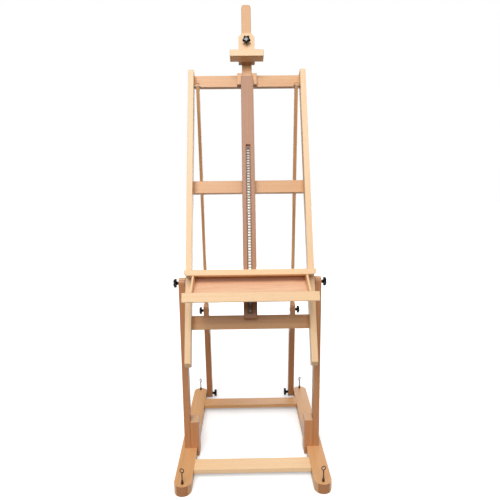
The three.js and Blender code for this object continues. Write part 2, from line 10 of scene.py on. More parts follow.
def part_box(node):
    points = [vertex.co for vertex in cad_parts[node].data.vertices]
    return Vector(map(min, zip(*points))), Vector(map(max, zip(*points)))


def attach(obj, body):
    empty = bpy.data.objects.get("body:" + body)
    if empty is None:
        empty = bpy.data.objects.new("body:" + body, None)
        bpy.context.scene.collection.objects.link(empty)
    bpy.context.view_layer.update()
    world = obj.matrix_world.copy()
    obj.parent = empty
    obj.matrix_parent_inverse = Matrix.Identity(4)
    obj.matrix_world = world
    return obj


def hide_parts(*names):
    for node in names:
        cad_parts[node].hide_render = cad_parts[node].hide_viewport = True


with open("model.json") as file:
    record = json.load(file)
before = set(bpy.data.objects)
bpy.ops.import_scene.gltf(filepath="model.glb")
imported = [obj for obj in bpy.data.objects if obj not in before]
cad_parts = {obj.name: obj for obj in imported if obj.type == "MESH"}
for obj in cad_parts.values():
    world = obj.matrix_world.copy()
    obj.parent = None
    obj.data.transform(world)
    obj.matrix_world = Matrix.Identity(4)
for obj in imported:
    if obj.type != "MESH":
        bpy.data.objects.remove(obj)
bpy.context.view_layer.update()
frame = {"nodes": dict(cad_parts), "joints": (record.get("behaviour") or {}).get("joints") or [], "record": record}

# ------------------------------------------------------------------ places taken from the CAD

RECORD = frame["record"]
JOINTS = {j["name"]: j for j in frame["joints"]}
BODY = {n: b for b, nodes in RECORD["behaviour"]["bodies"].items() for n in nodes}
SLOT = {s["node"]: s["material_slot"] for s in RECORD["subparts"]}

X = Vector((1, 0, 0))
Y = Vector((0, 1, 0))
Z = Vector((0, 0, 1))
PIVOT = Vector(JOINTS["frame_tilt"]["pos_m"])
UP = Vector(JOINTS["tray_slide"]["axis"]).normalized()  # up along the leaning frame
BACK = UP.cross(X)
FOOT = Vector(JOINTS["lower_strut_turn_right"]["pos_m"])
STRUT = (Vector(JOINTS["upper_strut_turn_right"]["pos_m"]) - FOOT).normalized()
SIDES = ((1, "right"), (-1, "left"))


def place(name):
    return Vector(JOINTS[name]["pos_m"])


def direction(name):
    return Vector(JOINTS[name]["axis"]).normalized()


# ------------------------------------------------------------------ material helpers


class Tree:
    """A material's nodes, built by name."""

    def __init__(self, name):
        self.mat = bpy.data.materials.new(name)
        self.mat.use_nodes = True
        self.nodes = self.mat.node_tree.nodes
        self.links = self.mat.node_tree.links
        self.shader = next(n for n in self.nodes if n.type == "BSDF_PRINCIPLED")

    def add(self, kind, values=(), **attrs):
        node = self.nodes.new(kind)
        for key, value in attrs.items():
            setattr(node, key, value)
        for key, value in dict(values).items():
            socket = node.inputs[key]
            if isinstance(value, bpy.types.NodeSocket):
                self.links.new(value, socket)
            else:
                socket.default_value = value
        return node

    def attribute(self, name):
        node = self.add("ShaderNodeAttribute", attribute_name=name, attribute_type="GEOMETRY")
        return node.outputs["Vector"]

    def split(self, vector):
        return self.add("ShaderNodeSeparateXYZ", {"Vector": vector}).outputs

    def math(self, op, a, b=0.0, c=0.0):
        return self.add("ShaderNodeMath", {0: a, 1: b, 2: c}, operation=op).outputs[0]

    def scaled(self, vector, scale, offset=(0, 0, 0)):
        values = {"Vector": vector, "Scale": scale, "Location": offset}
        return self.add("ShaderNodeMapping", values).outputs[0]

    def noise(self, vector, scale=1.0, detail=2.0, rough=0.5, distortion=0.0):
        values = {"Vector": vector, "Scale": scale, "Detail": detail}
        values |= {"Roughness": rough, "Distortion": distortion}
        return self.add("ShaderNodeTexNoise", values).outputs["Fac"]

    def cells(self, vector):
        values = {"Vector": vector, "Scale": 1.0, "Randomness": 1.0}
        return self.add("ShaderNodeTexVoronoi", values, feature="F1").outputs["Distance"]

    def ramp(self, value, low, high, to_low=0.0, to_high=1.0):
        values = {"Value": value, "From Min": low, "From Max": high}
        values |= {"To Min": to_low, "To Max": to_high}
        curve = {"clamp": True, "interpolation_type": "SMOOTHSTEP"}
        return self.add("ShaderNodeMapRange", values, **curve).outputs[0]

    def mix(self, factor, a, b):
        node = self.add("ShaderNodeMix", data_type="RGBA")
        for index, value in ((0, factor), (6, a), (7, b)):
            if isinstance(value, bpy.types.NodeSocket):
                self.links.new(value, node.inputs[index])
            else:
                node.inputs[index].default_value = (*value, 1.0)
        return node.outputs[2]

    def bump(self, height, strength, distance):
        values = {"Height": height, "Strength": strength, "Distance": distance}
        node = self.add("ShaderNodeBump", values)
        self.links.new(node.outputs[0], self.shader.inputs["Normal"])

    def to(self, socket, value):
        if isinstance(value, bpy.types.NodeSocket):
            self.links.new(value, self.shader.inputs[socket])
        else:
            self.shader.inputs[socket].default_value = value


def linear(hex_colour):
    """A screen colour as the linear values that a shader takes."""
    out = []
    for shift in (16, 8, 0):
        c = ((hex_colour >> shift) & 255) / 255
        out.append(c / 12.92 if c <= 0.04045 else ((c + 0.055) / 1.055) ** 2.4)
    return tuple(out)


def wood(name, colours, contrast=0.55, ring=0.0032, rough=0.42):
    """Lacquered beech; the colours are those of light growth, dark growth and end grain.

    The grain attribute holds metres along, across and through each board. The face attribute
    marks end grain and rounded edges, and says how much darker the board is: its own tone, plus painted shade on
    boards that stand in shade.
    """
    light, dark, end = (linear(c) for c in colours)
    t = Tree(name)
    grain = t.attribute("grain")
    end_grain, edge, tone_and_shade_of_board = t.split(t.attribute("face"))

    # Growth rings round a pith that runs beside the board and wanders along it.
    drift = t.noise(t.scaled(grain, (1.1, 3.0, 3.0)), 1.0, 3.0, 0.55)
    wander = t.noise(t.scaled(grain, (5.0, 22.0, 22.0), (3.1, 0.7, 1.9)), 1.0, 2.0, 0.5)
    _, across, through = t.split(grain)
    lift = t.math("MULTIPLY_ADD", drift, 0.055, -0.075)
    radial_a = t.math("ADD", across, lift)
    depth = t.math("MULTIPLY_ADD", through, 1.25, 0.028)
    radial_b = t.math("MULTIPLY_ADD", wander, 0.006, depth)
    square = t.math("ADD", t.math("POWER", radial_a, 2.0), t.math("POWER", radial_b, 2.0))
    radius = t.math("SQRT", square)
    turns = t.math("FRACT", t.math("DIVIDE", radius, ring))
    late = t.ramp(turns, 0.35, 0.97)

    # Fibres, the short dark flecks of beech, and broad shifts of tone.
    fibre = t.noise(t.scaled(grain, (45.0, 1900.0, 1900.0)), 1.0, 3.0, 0.6)
    streak = t.noise(t.scaled(grain, (2.2, 150.0, 150.0), (0.3, 4.0, 2.0)), 1.0, 3.0, 0.6)
    cell = t.cells(t.scaled(grain, (190.0, 980.0, 980.0)))
    fleck = t.ramp(cell, 0.20, 0.32, 1.0, 0.0)
    tone = t.noise(t.scaled(grain, (0.9, 6.0, 6.0), (9.0, 1.0, 5.0)), 1.0, 2.0, 0.5)

    body = t.mix(t.math("MULTIPLY", late, contrast), light, dark)
    body = t.mix(t.ramp(streak, 0.38, 0.72, 0.0, 0.34), body, dark)
    brown = tuple(0.82 * a + 0.18 * b for a, b in zip(dark, end))
    body = t.mix(t.ramp(tone, 0.3, 0.7, 0.0, 0.42), body, brown)
    deep = tuple(0.5 * c for c in dark)
    body = t.mix(t.math("MULTIPLY", fleck, 0.42), body, deep)
    body = t.mix(t.ramp(fibre, 0.5, 0.75, 0.0, 0.16), body, deep)
    body = t.mix(t.math("MULTIPLY", edge, 0.22), body, deep)
    # Darkens the whole board by the face attribute's third value: its own tone, and painted shade on the boards
    # that stand in shade.
    body = t.mix(tone_and_shade_of_board, body, deep)

    # End grain: pores and rings, which drink in more of the finish.
    pores = t.cells(t.scaled(grain, (300.0, 1700.0, 1700.0)))
    speck = t.ramp(pores, 0.16, 0.34, 0.7, 0.0)
    cut = t.mix(t.math("MULTIPLY", late, 0.5), end, tuple(0.62 * c for c in end))
    cut = t.mix(speck, cut, tuple(0.35 * c for c in end))
    t.to("Base Color", t.mix(t.math("MULTIPLY", end_grain, 0.9), body, cut))

    sheen = t.math("MULTIPLY_ADD", fibre, 0.16, rough - 0.08)
    t.to("Roughness", t.math("MULTIPLY_ADD", end_grain, 0.2, sheen))
    t.to("Coat Weight", 0.18)
    t.to("Coat Roughness", 0.24)
    t.to("Specular IOR Level", 0.45)
    raised = t.math("MULTIPLY_ADD", late, 0.3, fibre)
    t.bump(t.math("SUBTRACT", raised, t.math("MULTIPLY", fleck, 0.8)), 0.35, 0.00012)
    return t.mat


def plywood(name, colours):
    """A rotary-cut face veneer: broad soft figure along the board, and plies at its ends."""
    light, dark, end = (linear(c) for c in colours)
    t = Tree(name)
    grain = t.attribute("grain")
    end_grain = t.split(t.attribute("face"))[0]
    figure = t.noise(t.scaled(grain, (2.6, 34.0, 34.0)), 1.0, 4.0, 0.55, 1.4)
    bands = t.math("PINGPONG", t.math("MULTIPLY", figure, 9.0), 1.0)
    fibre = t.noise(t.scaled(grain, (38.0, 1500.0, 1500.0)), 1.0, 3.0, 0.6)
    body = t.mix(t.ramp(bands, 0.2, 0.9, 0.0, 0.45), light, dark)
    body = t.mix(t.ramp(fibre, 0.48, 0.75, 0.0, 0.28), body, tuple(0.55 * c for c in dark))
    plies = t.math("FRACT", t.math("MULTIPLY", t.split(grain)[2], 700.0))
    cut = t.mix(t.ramp(plies, 0.42, 0.58), end, tuple(0.6 * c for c in end))
    t.to("Base Color", t.mix(t.math("MULTIPLY", end_grain, 0.85), body, cut))
    t.to("Roughness", t.math("MULTIPLY_ADD", fibre, 0.18, 0.4))
    t.to("Coat Weight", 0.12)
    t.to("Coat Roughness", 0.3)
    t.bump(fibre, 0.3, 0.00012)
    return t.mat


def metal(name, colour, dull, rough, grime=0.35):
    """Plated steel with fine scratches, cloudy spots and darker spots of grime."""
    t = Tree(name)
    where = t.add("ShaderNodeTexCoord").outputs["Object"]
    cloud = t.noise(where, 140.0, 4.0, 0.6)
    scratch = t.noise(t.scaled(where, (900.0, 130.0, 900.0)), 1.0, 3.0, 0.7)
    spot = t.ramp(t.noise(where, 520.0, 2.0, 0.5), 0.60, 0.72)
    body = t.mix(t.ramp(cloud, 0.35, 0.7, 0.0, 0.7), colour, dull)
    body = t.mix(t.math("MULTIPLY", spot, grime), body, tuple(0.35 * c for c in dull))
    t.to("Base Color", body)
    t.to("Metallic", 1.0)
    clouded = t.math("MULTIPLY_ADD", cloud, 0.16, rough - 0.16)
    t.to("Roughness", t.math("MULTIPLY_ADD", scratch, 0.22, clouded))
    t.bump(t.math("ADD", scratch, cloud), 0.22, 0.00006)
    return t.mat


def moulded_plastic(name, specular, coat, rough):
    """Glossy black plastic with a faint orange-peel skin and rubbed high spots."""
    t = Tree(name)
    where = t.add("ShaderNodeTexCoord").outputs["Object"]
    peel = t.noise(where, 900.0, 2.0, 0.5)
    rub = t.ramp(t.noise(where, 160.0, 4.0, 0.65), 0.5, 0.75)
    black, worn = (0.0045, 0.0045, 0.005), (0.013, 0.013, 0.0145)
    t.to("Base Color", t.mix(t.math("MULTIPLY", rub, 0.5), black, worn))
    t.to("Roughness", t.math("MULTIPLY_ADD", rub, 0.13, rough))
    t.to("Specular IOR Level", specular)
    t.to("Coat Weight", coat)
    t.to("Coat Roughness", 0.06)
    t.bump(peel, 0.10, 0.00005)
    return t.mat


MATERIALS = {
    "beech": wood("beech", (0xE4B27C, 0xC98A52, 0xA96F45)),
    "pale_beech": wood("pale_beech", (0xF9D6A9, 0xEABA88, 0xC99870), contrast=0.42),
    "dark_beech": wood("dark_beech", (0xC88C5C, 0xA5673B, 0xDDB48C), contrast=0.5),
    "plywood": plywood("plywood", (0xECC4A2, 0xD9A682, 0xB98560)),
    "black_plastic": moulded_plastic("black_plastic", 0.12, 0.0, 0.26),
    "steel": metal("steel", (0.30, 0.29, 0.27), (0.14, 0.135, 0.125), 0.30),
    "brassed_steel": metal("brassed_steel", (0.12, 0.09, 0.052), (0.045, 0.034, 0.02), 0.24, 0.5),
}

POLISHED = moulded_plastic("polished_plastic", 0.8, 0.35, 0.08)

# ------------------------------------------------------------------ mesh helpers


def in_scene(name, data):
    obj = bpy.data.objects.new(name, data)
    bpy.context.scene.collection.objects.link(obj)
    return obj


def new_object(name, mesh, body, slot, material=None):
    """A piece that rides its body, in its slot's material unless another is given."""
    obj = in_scene(name, mesh)
    mesh.materials.clear()
    mesh.materials.append(material or MATERIALS[slot])
    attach(obj, body)
    return obj


def finish_mesh(bm, name):
    mesh = bpy.data.meshes.new(name)
    bmesh.ops.recalc_face_normals(bm, faces=bm.faces[:])
    bm.to_mesh(mesh)
    bm.free()
    return mesh


def eased_copy(node, radius, segments=3, sharp_deg=30.0):
    """The CAD solid as a bmesh with its outside corners rounded off and the new faces marked."""
    bm = bmesh.new()
    bm.from_mesh(frame["nodes"][node].data)
    bmesh.ops.remove_doubles(bm, verts=bm.verts[:], dist=2e-5)
    bmesh.ops.dissolve_limit(
        bm,
        angle_limit=math.radians(0.8),
        verts=bm.verts[:],
        edges=bm.edges[:],
        use_dissolve_boundaries=False,
    )
    marked = bm.faces.layers.float.new("edge_mark")
    sharp = math.radians(sharp_deg)
    corners = [
        e
        for e in bm.edges
        if len(e.link_faces) == 2 and e.is_convex and e.calc_face_angle(0.0) > sharp
    ]
    made = bmesh.ops.bevel(
        bm,
        geom=corners,
        offset=radius,
        offset_type="OFFSET",
        segments=segments,
        profile=0.5,
        affect="EDGES",
        clamp_overlap=True,
    )
    for f in made["faces"]:
        f[marked] = 1.0
    bmesh.ops.triangulate(bm, faces=[f for f in bm.faces if len(f.verts) > 4])
    return bm


def shade(mesh, angle_deg=34.0):
    mesh.shade_smooth()
    mesh.set_sharp_from_angle(angle=math.radians(angle_deg))


def weighted(obj):
    mod = obj.modifiers.new("normals", "WEIGHTED_NORMAL")
    mod.keep_sharp = True
    mod.weight = 80


# How much darker than the lightest board of its kind a board is: its own tone, and painted shade for the centre
# column and the tray's back board.
BOARD_TONE_AND_SHADE = {
    "mast": 0.12,
    "clamp_plate": 0.16,
    "clamp_bar": 0.10,
    # Painted shade: the column is darkened for the tray's shadow over it.
    "centre_column": 0.34,
    "side_rail_left": 0.08,
    "side_rail_right": 0.08,
    "lower_strut_left": 0.34,
    "lower_strut_right": 0.34,
    "post_left": 0.12,
    "post_right": 0.12,
    # Painted shade: the back board is darkened for the shadow under the canvas ledge.
    "tray_back_board": 0.42,
}


def board(node, along, across, radius):
    """Replaces a wooden CAD node by its eased copy, with the grain running along the board."""
    through = along.cross(across).normalized()
    bm = eased_copy(node, radius)
    marked = bm.faces.layers.float["edge_mark"]
    marks = [(abs(f.normal.dot(along)) > 0.75, f[marked]) for f in bm.faces]
    bm.faces.layers.float.remove(marked)
    mesh = bpy.data.meshes.new("board." + node)
    bm.to_mesh(mesh)
    bm.free()
    low, high = (Vector(c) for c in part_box(node))
    centre = (low + high) / 2
    seed = random.Random(node)
    shift = Vector((seed.uniform(3, 40), seed.uniform(-0.03, 0.03), seed.uniform(-0.012, 0.012)))
    grain = mesh.attributes.new("grain", "FLOAT_VECTOR", "POINT")
    values = []
    for v in mesh.vertices:
        p = v.co - centre
        values += [p.dot(along) + shift.x, p.dot(across) + shift.y, p.dot(through) + shift.z]
    grain.data.foreach_set("vector", values)
    face = mesh.attributes.new("face", "FLOAT_VECTOR", "FACE")
    values = []
    for end, edge in marks:
        # The third value darkens the board: its own tone, and painted shade for boards in shade.
        values += [float(end), float(edge), BOARD_TONE_AND_SHADE.get(node, 0.0)]
    face.data.foreach_set("vector", values)
    shade(mesh)
    obj = new_object("board." + node, mesh, BODY[node], SLOT[node])
    weighted(obj)
    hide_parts(node)


def eased_metal(node, radius, segments=2):
    bm = eased_copy(node, radius, segments)
    bm.faces.layers.float.remove(bm.faces.layers.float["edge_mark"])
    mesh = bpy.data.meshes.new("metal." + node)
    bm.to_mesh(mesh)
    bm.free()
    shade(mesh, 40)
    obj = new_object("metal." + node, mesh, BODY[node], SLOT[node])
    weighted(obj)
    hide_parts(node)


def frame_of(axis, roll_to=None):
    """A rotation whose local z is the axis and whose local x leans towards roll_to."""
    z = axis.normalized()
    guide = roll_to or (Z if abs(z.z) < 0.9 else X)
    x = (guide - z * guide.dot(z)).normalized()
    y = z.cross(x)
    return Matrix((x, y, z)).transposed()


def rings_to_mesh(bm, rings, origin, rot, steps):
    """Skins rings of (height, radius function) into one shell; a function of None is a tip."""
    rows = []
    for height, radius_at in rings:
        if radius_at is None:
            rows.append([bm.verts.new(origin + rot @ Vector((0, 0, height)))])
            continue
        row = []
        for i in range(steps):
            a = 2 * math.pi * i / steps
            r = radius_at(a)
            point = Vector((r * math.cos(a), r * math.sin(a), height))
            row.append(bm.verts.new(origin + rot @ point))
        rows.append(row)
    for low, high in zip(rows, rows[1:]):
        for i in range(steps):
            j = (i + 1) % steps
            if len(low) == 1:
                bm.faces.new((low[0], high[j], high[i]))
            elif len(high) == 1:
                bm.faces.new((low[i], low[j], high[0]))
            else:
                bm.faces.new((low[i], low[j], high[j], high[i]))


def ring(height_mm, radius_mm):
    """A round ring for rings_to_mesh; a zero radius is a tip."""
    if radius_mm == 0:
        return (height_mm / 1000, None)
    return (height_mm / 1000, lambda a, r=radius_mm / 1000: r)


# ------------------------------------------------------------------ star knobs

# Lengths are in millimetres, and heights start at the foot of the boss.
KNOB_RADIUS = 19.4
KNOB_TOP = 22.5
KNOB_BORE = 16.0
KNOB_LOBE = 5.8  # depth of a valley between two lobes
KNOB_LOBES = 5
KNOB_POINT = 0.78  # an exponent; below 1, the lobes are narrower than the valleys
KNOB_STEPS = 80


def lobed(height_mm, radius_mm, share):
    """A star-shaped ring for rings_to_mesh; share is how much of the valleys' depth it has."""
    def radius_at(a):
        wave = (1 - math.cos(KNOB_LOBES * a)) / 2
        return (radius_mm - KNOB_LOBE * share * wave**KNOB_POINT) / 1000

    return (height_mm / 1000, radius_at)


def star_knob(node, axis_name, stud=None):
    """A five-lobed knob on its joint's axis. If it carries a bolt, stud is its length in mm."""
    axis = direction(axis_name)
    origin = place(axis_name)
    solid = frame["nodes"][node]
    top = max((solid.matrix_world @ v.co - origin).dot(axis) for v in solid.data.vertices)
    base = origin + axis * (top - KNOB_TOP / 1000)
    rot = frame_of(axis, -Z)
    if stud:
        start = [ring(-stud, 0), ring(-stud, 3.4), ring(-stud + 0.6, 4.0), ring(-0.1, 4.0)]
    else:
        start = [ring(KNOB_BORE, 0), ring(KNOB_BORE, 4.35), ring(0.0, 4.35)]
    head = [
        ring(0.0, 5.6),
        ring(0.35, 5.95),
        ring(4.5, 6.75),
        ring(8.2, 7.5),
        ring(9.3, 8.1),
        lobed(9.9, 9.6, 0.2),
        lobed(10.02, 13.0, 0.55),
        lobed(10.25, 16.4, 0.85),
        lobed(10.9, 18.3, 1.0),
        lobed(12.0, 19.2, 1.0),
        lobed(13.4, KNOB_RADIUS, 1.0),
        lobed(19.2, KNOB_RADIUS, 1.0),
        lobed(20.8, 19.0, 1.0),
        lobed(21.9, 17.8, 1.0),
        lobed(22.4, 16.4, 0.95),
        lobed(KNOB_TOP, 15.4, 0.88),
        lobed(22.3, 14.9, 0.86),
        lobed(19.3, 14.7, 0.85),
        ring(19.2, 6.0),
        ring(19.2, 0),
    ]
    bm = bmesh.new()
    rings_to_mesh(bm, start + head, base, rot, KNOB_STEPS)
    mesh = finish_mesh(bm, "knob." + node)
    shade(mesh, 38)
    obj = new_object("knob." + node, mesh, BODY[node], "black_plastic")
    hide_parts(node)
    # A polished, slightly domed cap is pressed into the top of the star.
    cap = [
        ring(18.9, 0),
        lobed(18.9, 12.0, 0.8),
        lobed(19.1, 14.4, 0.85),
        lobed(20.3, 14.5, 0.85),
        lobed(20.7, 14.0, 0.82),
        lobed(21.2, 12.0, 0.55),
        lobed(21.7, 9.6, 0.2),
        ring(22.1, 6.8),
        ring(22.36, 3.8),
        ring(22.44, 0),
    ]
    bm = bmesh.new()
    rings_to_mesh(bm, cap, base, rot, KNOB_STEPS)
    mesh = finish_mesh(bm, "cap." + node)
    shade(mesh, 50)
    new_object("cap." + node, mesh, BODY[node], "black_plastic", POLISHED)


for _, word in SIDES:
    star_knob("pivot_knob_" + word, "pivot_knob_turn_" + word)
    star_knob("foot_knob_" + word, "foot_knob_turn_" + word)
    star_knob("strut_knob_" + word, "strut_knob_turn_" + word)
star_knob("clamp_knob", "clamp_knob_turn", stud=17.0)
star_knob("mast_lock_knob", "mast_lock_knob_turn", stud=18.3)

# ------------------------------------------------------------------ boards

EASE = 0.0022  # the usual radius of a board's rounded edges
PIN_EASE = 0.0005
for _, word in SIDES:
    board("runner_" + word, Y, X, 0.0026)
    board("post_" + word, Z, X, EASE)
    board("post_block_" + word, Z, X, EASE)
    board("side_rail_" + word, UP, X, 0.0026)
    board("mast_guide_" + word, UP, X, 0.0012)
    board("clamp_cheek_" + word, UP, BACK, 0.0010)
    board("tray_side_" + word, BACK, UP, 0.0012)
    board("carriage_guide_" + word, UP, X, 0.0012)
    board("lower_strut_" + word, STRUT, X, 0.0014)
    board("upper_strut_" + word, STRUT, X, 0.0016)
board("front_crossbar", X, Y, EASE)
board("rear_crossbar", X, Y, EASE)
board("lower_crossboard", X, UP, EASE)
board("middle_crossboard", X, UP, EASE)
board("top_crossboard", X, UP, EASE)
board("centre_column", UP, X, 0.0018)
board("column_foot_block", UP, X, 0.0010)
board("mast", UP, X, 0.0024)
board("clamp_plate", UP, X, EASE)
board("clamp_bar", X, UP, 0.0026)
board("clamp_back_plate", UP, X, 0.0018)
board("canvas_ledge", X, UP, 0.0024)
board("tray_back_board", X, UP, 0.0014)
board("tray_bottom", X, BACK, 0.0006)
board("tray_front_rail", X, UP, EASE)

# ------------------------------------------------------------------ metal

eased_metal("ratchet_rack", 0.0003, 1)
eased_metal("pawl", 0.0006)
eased_metal("pawl_pin", PIN_EASE)
for pin in ("pivot_bolt_", "strut_pin_"):
    eased_metal(pin + "left", PIN_EASE)
    eased_metal(pin + "right", PIN_EASE)
for _, word in SIDES:
    eased_metal("foot_stud_" + word, PIN_EASE)
    eased_metal("strut_bolt_" + word, PIN_EASE)

# The eye screws, in metres.
EYE_RADIUS = 0.008  # to the middle of the wire
EYE_WIRE = 0.00195
EYE_OUTER = 0.010
EYE_STEPS = 48
WIRE_STEPS = 14
THREAD_PITCH = 0.00125
THREAD_LENGTH = 0.058
THREAD_ROOT = 0.00262
THREAD_DEPTH = 0.00036
SHANK_RADIUS = 0.00272
NECK_RADIUS = 0.0029
TIP_RADIUS = 0.0016
TIP_GAIN = 0.0009  # how much wider the tip is at the end of its taper
TAPER = 0.0014
SHANK_STEPS = 20


def levelling_screw(node, joint):
    """A threaded eye screw with its lock nut: a ring on a shank with a rolled thread."""
    low, high = (Vector(c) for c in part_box(node))
    axis = place(joint)
    foot = low.z
    centre_z = high.z - EYE_OUTER
    bm = bmesh.new()
    # The ring's plane follows the CAD ring: it holds the widest points.
    points = [v.co for v in frame["nodes"][node].data.vertices if v.co.z > centre_z - 0.004]
    widest = max(points, key=lambda p: (p.x - axis.x) ** 2 + (p.y - axis.y) ** 2)
    yaw = math.atan2(widest.y - axis.y, widest.x - axis.x)
    side = Vector((math.cos(yaw), math.sin(yaw), 0))
    out = Vector((-math.sin(yaw), math.cos(yaw), 0))
    middle = Vector((axis.x, axis.y, centre_z))
    rows = []
    for i in range(EYE_STEPS):
        a = 2 * math.pi * i / EYE_STEPS - math.pi / 2
        radial = side * math.cos(a) + Z * math.sin(a)
        row = []
        for k in range(WIRE_STEPS):
            b = 2 * math.pi * k / WIRE_STEPS
            reach = EYE_RADIUS + EYE_WIRE * math.cos(b)
            row.append(bm.verts.new(middle + radial * reach + out * EYE_WIRE * math.sin(b)))
        rows.append(row)
    for row, following in zip(rows, rows[1:] + rows[:1]):
        for k in range(WIRE_STEPS):
            after = (k + 1) % WIRE_STEPS
            bm.faces.new((row[k], row[after], following[after], following[k]))
    # The tip tapers, the thread is a real helix, and the shank swells below the ring.
    neck = centre_z - EYE_RADIUS
    thread_top = foot + THREAD_LENGTH
    heights = [foot, foot + 0.0006, foot + TAPER]
    z = foot + 0.0018
    while z < thread_top:
        heights.append(z)
        z += THREAD_PITCH / 4
    heights += [thread_top + 0.0006, thread_top + 0.002, neck - 0.006, neck - 0.002, neck + 0.0006]

    def radius_along(h):
        if h <= foot + TAPER:
            return lambda a: TIP_RADIUS + TIP_GAIN * (h - foot) / TAPER
        if h < thread_top:
            turns = h / THREAD_PITCH

            def flank(a):
                share = (turns - a / (2 * math.pi)) % 1.0
                return THREAD_ROOT + THREAD_DEPTH * abs(2 * share - 1)

            return flank
        if h < neck - 0.004:
            return lambda a: SHANK_RADIUS
        return lambda a: NECK_RADIUS if h < neck else 0.0025

    rings = [(foot, None)] + [(h, radius_along(h)) for h in heights] + [(neck + 0.0006, None)]
    rings_to_mesh(bm, rings, Vector((axis.x, axis.y, 0)), Matrix.Identity(3), SHANK_STEPS)
    mesh = finish_mesh(bm, "screw." + node)
    shade(mesh, 50)
    obj = new_object("screw." + node, mesh, BODY[node], "brassed_steel")
    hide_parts(node)
    # The lock nut and its round washer.
    runner_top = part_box("runner_right")[1][2]
    bm = bmesh.new()

    def hexagon(height_mm, radius_mm, blend):
        def radius_at(a):
            flat = math.cos(math.pi / 6) / math.cos((a % (math.pi / 3)) - math.pi / 6)
            return radius_mm * (blend + (1 - blend) * flat) / 1000

        return (height_mm / 1000, radius_at)

    profile = [
        ring(0.3, 2.95),
        ring(0.3, 5.4),
        ring(1.3, 5.4),
        ring(1.5, 5.0),
        hexagon(1.6, 4.7, 1.0),
        hexagon(2.2, 5.4, 0.0),
        hexagon(7.2, 5.4, 0.0),
        hexagon(7.9, 4.8, 0.8),
        ring(8.1, 4.2),
        ring(14.6, 4.0),
        ring(15.1, 3.6),
        ring(15.1, 2.95),
        ring(0.3, 2.95),
    ]
    foot = Vector((axis.x, axis.y, runner_top))
    rings_to_mesh(bm, profile, foot, Matrix.Identity(3), steps=48)
    bmesh.ops.remove_doubles(bm, verts=bm.verts[:], dist=1e-6)
    mesh = finish_mesh(bm, "nut." + node)
    shade(mesh, 25)
    new_object("nut." + node, mesh, BODY[node], "brassed_steel")


for _, word in SIDES:
    levelling_screw("front_levelling_screw_" + word, "front_levelling_screw_turn_" + word)
    levelling_screw("rear_levelling_screw_" + word, "rear_levelling_screw_turn_" + word)


def washer(name, body, centre, axis, inner, outer, thick):
    """A stamped washer with a rolled rim, in mm, half of its thickness either side of centre."""
    half = thick / 2
    profile = [
        ring(-half, inner),
        ring(-half, outer - 0.4),
        ring(-half + 0.3, outer),
        ring(half - 0.3, outer),
        ring(half, outer - 0.4),
        ring(half, inner),
        ring(-half, inner),
    ]
    bm = bmesh.new()
    rings_to_mesh(bm, profile, centre, frame_of(axis), steps=40)
    bmesh.ops.remove_doubles(bm, verts=bm.verts[:], dist=1e-7)
    mesh = finish_mesh(bm, name)
    shade(mesh, 35)
    new_object(name, mesh, body, "steel")


for side, word in SIDES:
    rail_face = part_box("side_rail_right")[1][0]
    post_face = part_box("post_right")[0][0]
    spot = Vector((side * (rail_face + post_face) / 2, PIVOT.y, PIVOT.z))
    washer("washer.pivot_" + word, "frame", spot, X, inner=4.3, outer=12.0, thick=2.4)
    strut_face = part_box("lower_strut_right")[1][0]
    runner_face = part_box("runner_right")[0][0]
    spot = Vector((side * (strut_face + runner_face) / 2, FOOT.y, FOOT.z))
    washer("washer.foot_" + word, "base", spot, X, inner=4.3, outer=12.0, thick=1.9)

# ------------------------------------------------------------------ wood screws


def screw_head_mesh():
    """A countersunk head seen from above: shallow dome, cross recess, facing local +z."""
    bm = bmesh.new()
    profile = [
        ring(-1.2, 0),
        ring(-1.2, 1.6),
        ring(-0.3, 3.6),
        ring(0.05, 3.9),
        ring(0.32, 3.5),
        ring(0.5, 2.4),
        ring(0.55, 0),
    ]
    rings_to_mesh(bm, profile, Vector(), Matrix.Identity(3), steps=32)
    head = finish_mesh(bm, "head")
    bm = bmesh.new()
    for length, width in ((4.2, 0.85), (0.85, 4.2)):
        made = bmesh.ops.create_cube(bm, size=1.0)
        for v in made["verts"]:
            taper = 0.62 if v.co.z < 0 else 1.0
            x, y = v.co.x * length * taper, v.co.y * width * taper
            v.co = Vector((x, y, v.co.z * 1.5 + 0.25)) / 1000
    cross = finish_mesh(bm, "cross")
    solid = in_scene("head", head)
    tool = in_scene("cross", cross)
    mod = solid.modifiers.new("cut", "BOOLEAN")
    mod.operation = "DIFFERENCE"
    mod.object = tool
    mod.solver = "EXACT"
    mod.use_self = True
    graph = bpy.context.evaluated_depsgraph_get()
    mesh = bpy.data.meshes.new_from_object(solid.evaluated_get(graph))
    for obj in (solid, tool):
        bpy.data.objects.remove(obj)
    return mesh


HEAD = screw_head_mesh()


def screws(name, body, spots):
    """All the screws of one body as one mesh; each spot is (place on the face, outward normal)."""
    bm = bmesh.new()
    for i, (spot, normal) in enumerate(spots):
        turn = Matrix.Rotation(0.7 * i + 0.3, 3, "Z")
        part = bmesh.new()
        part.from_mesh(HEAD)
        bmesh.ops.transform(part, matrix=(frame_of(normal) @ turn).to_4x4(), verts=part.verts[:])
        bmesh.ops.translate(part, vec=spot, verts=part.verts[:])
        scratch = bpy.data.meshes.new("scratch")
        part.to_mesh(scratch)
        part.free()
        bm.from_mesh(scratch)
        bpy.data.meshes.remove(scratch)
    mesh = finish_mesh(bm, name)
    shade(mesh, 30)
    new_object(name, mesh, body, "steel")


def in_frame(x, y_back, z_up):
    """A point given in the leaning frame's own axes, in metres from the pivot."""
    return PIVOT + X * x + BACK * y_back + UP * z_up


def frame_span(node):
    """A node's extent along the leaning frame's own axes: three (low, high) pairs."""
    pts = [v.co - PIVOT for v in frame["nodes"][node].data.vertices]
    return [(min(p.dot(a) for p in pts), max(p.dot(a) for p in pts)) for a in (X, BACK, UP)]


# The bare lengths below are metres from a board's edge or middle to a screw's middle.
INSET = 0.014  # the usual one


